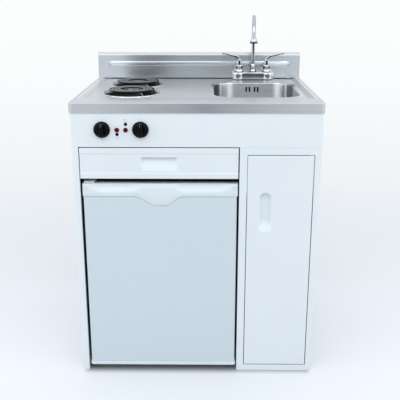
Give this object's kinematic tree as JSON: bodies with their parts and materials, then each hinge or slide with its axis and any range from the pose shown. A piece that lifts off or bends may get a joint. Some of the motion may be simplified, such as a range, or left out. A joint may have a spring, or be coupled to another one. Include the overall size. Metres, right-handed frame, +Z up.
{
  "type": "kitchenette unit with sink and hob",
  "caption": "Compact kitchenette: steel worktop with sink, gooseneck tap and coil burners over a control panel, drawer, undercounter refrigerator and cupboard.",
  "frame": {"origin": "on the floor under the middle of the whole unit, halfway between the knobs' front and the backsplash's rear face", "axes": "+Z up, +X to the right of a person who faces the front, +Y from the front toward the wall"},
  "size_m": [0.762, 0.647, 1.1238],
  "materials": {
    "white_enamel": "gloss white baked enamel",
    "inner_paint": "white paint",
    "stainless": "satin stainless steel",
    "chrome": "polished chrome",
    "zinc": "zinc-plated steel",
    "coil_steel": "dark oxidised steel sheath",
    "black_plastic": "black moulded plastic",
    "black_steel": "black paint",
    "lamp_red": "clear red lens",
    "ceramic": "glazed ceramic",
    "foam_cabinet": "painted steel skin over a foam core",
    "door_enamel": "fine-textured painted steel skin over a foam core",
    "trim_plastic": "smooth moulded plastic",
    "liner_plastic": "glossy moulded plastic",
    "gasket_rubber": "soft extruded seal",
    "shelf_glass": "clear glass with a moulded edge"
  },
  "bodies": {
    "housing": {"housing_side_left": "white_enamel", "housing_side_right": "white_enamel", "control_panel": "white_enamel", "storage_front_frame": "white_enamel", "partition": "inner_paint", "storage_floor": "inner_paint", "back_panel": "inner_paint", "worktop": "stainless", "backsplash": "stainless", "sink_bowl": "stainless", "drain_body": "stainless", "faucet_base": "chrome", "valve_bonnet_left": "chrome", "valve_bonnet_right": "chrome", "spout_nut": "chrome", "drain_tailpiece": "chrome", "drip_pan_front": "chrome", "drip_pan_rear": "chrome", "drain_locknut": "zinc", "drawer_runner_left": "zinc", "drawer_runner_right": "zinc", "storage_hinge_top": "zinc", "storage_hinge_bottom": "zinc", "fridge_hinge_bottom": "zinc", "freezer_box": "zinc", "burner_switch_front": "black_plastic", "burner_switch_rear": "black_plastic", "cord_gland": "black_plastic", "compressor": "black_steel", "condenser_coil": "black_steel", "indicator_lamp_left": "lamp_red", "indicator_lamp_right": "lamp_red", "terminal_block_front": "ceramic", "terminal_block_rear": "ceramic", "fridge_cabinet": "foam_cabinet", "fridge_hinge_top": "trim_plastic", "freezer_flap": "trim_plastic", "fridge_liner": "liner_plastic", "fridge_shelf_lower": "shelf_glass", "fridge_shelf_upper": "shelf_glass"},
    "drawer": {"drawer_front": "white_enamel", "drawer_box": "zinc"},
    "storage_door": {"storage_door": "white_enamel"},
    "fridge_door": {"fridge_door": "door_enamel", "fridge_door_top_trim": "trim_plastic", "fridge_door_bottom_trim": "trim_plastic", "fridge_door_liner": "liner_plastic", "fridge_door_gasket": "gasket_rubber"},
    "knob_front": {"control_knob_front": "black_plastic"},
    "knob_rear": {"control_knob_rear": "black_plastic"},
    "lever_left": {"faucet_lever_left": "chrome"},
    "lever_right": {"faucet_lever_right": "chrome"},
    "spout": {"spout": "chrome", "aerator": "chrome"},
    "strainer": {"strainer_basket": "stainless"},
    "element_front": {"coil_element_front": "coil_steel", "element_support_front": "stainless"},
    "element_rear": {"coil_element_rear": "coil_steel", "element_support_rear": "stainless"},
    "thermostat": {"thermostat_dial": "trim_plastic"}
  },
  "joints": [
    {"name": "drawer_slide", "type": "slide", "parent": "housing", "child": "drawer", "axis": [0, -1, 0], "range_m": [0, 0.35]},
    {"name": "storage_door_hinge", "type": "hinge", "parent": "housing", "child": "storage_door", "pos_m": [0.3475, -0.2955, 0.376], "axis": [0, 0, 1], "range_deg": [0, 110]},
    {"name": "fridge_door_hinge", "type": "hinge", "parent": "housing", "child": "fridge_door", "pos_m": [-0.331, -0.2845, 0.33], "axis": [0, 0, -1], "range_deg": [0, 105]},
    {"name": "knob_front_turn", "type": "hinge", "parent": "housing", "child": "knob_front", "pos_m": [-0.283, -0.3015, 0.81], "axis": [0, -1, 0], "continuous": true},
    {"name": "knob_rear_turn", "type": "hinge", "parent": "housing", "child": "knob_rear", "pos_m": [-0.1675, -0.3015, 0.81], "axis": [0, -1, 0], "continuous": true},
    {"name": "lever_left_turn", "type": "hinge", "parent": "housing", "child": "lever_left", "pos_m": [0.151, 0.2845, 0.96], "axis": [0, 0, 1], "range_deg": [0, 90]},
    {"name": "lever_right_turn", "type": "hinge", "parent": "housing", "child": "lever_right", "pos_m": [0.253, 0.2845, 0.96], "axis": [0, 0, -1], "range_deg": [0, 90]},
    {"name": "spout_swivel", "type": "hinge", "parent": "housing", "child": "spout", "pos_m": [0.202, 0.2845, 1], "axis": [0, 0, 1], "range_deg": [-90, 90]},
    {"name": "strainer_lift", "type": "slide", "parent": "housing", "child": "strainer", "axis": [0, 0, 1], "range_m": [0, 0.045]},
    {"name": "element_front_tilt", "type": "hinge", "parent": "housing", "child": "element_front", "pos_m": [-0.118, -0.0815, 0.879], "axis": [0, 1, 0], "range_deg": [0, 8]},
    {"name": "element_rear_tilt", "type": "hinge", "parent": "housing", "child": "element_rear", "pos_m": [-0.118, 0.1305, 0.879], "axis": [0, 1, 0], "range_deg": [0, 8]},
    {"name": "thermostat_turn", "type": "hinge", "parent": "housing", "child": "thermostat", "pos_m": [0.066, -0.1878, 0.563], "axis": [0, -1, 0], "range_deg": [0, 300]}
  ]
}
